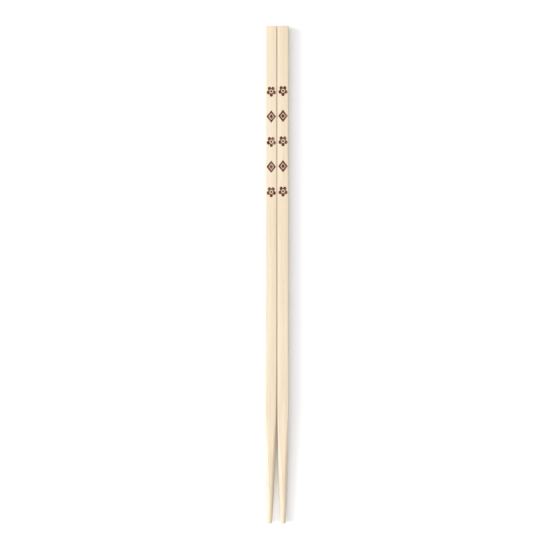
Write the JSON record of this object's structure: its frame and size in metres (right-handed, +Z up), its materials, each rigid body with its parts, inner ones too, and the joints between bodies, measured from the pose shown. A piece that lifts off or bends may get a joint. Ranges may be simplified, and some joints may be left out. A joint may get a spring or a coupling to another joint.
{
  "type": "pair of chopsticks",
  "caption": "Slim bamboo eating sticks lying side by side: square handles with rolled corners, planed and turned to round tips, with a printed ornament on each handle.",
  "frame": {"origin": "on the surface the sticks lie on, midway between them and midway along their length", "axes": "+Y along the sticks from the tips towards the handles, +X across the pair, +Z up"},
  "size_m": [0.0112, 0.24, 0.0055],
  "materials": {
    "bamboo": "bare planed bamboo, pale cream with fine lengthwise fibres, smooth with a dull sheen"
  },
  "bodies": {
    "root": {"left_stick": "bamboo", "right_stick": "bamboo"}
  },
  "joints": []
}
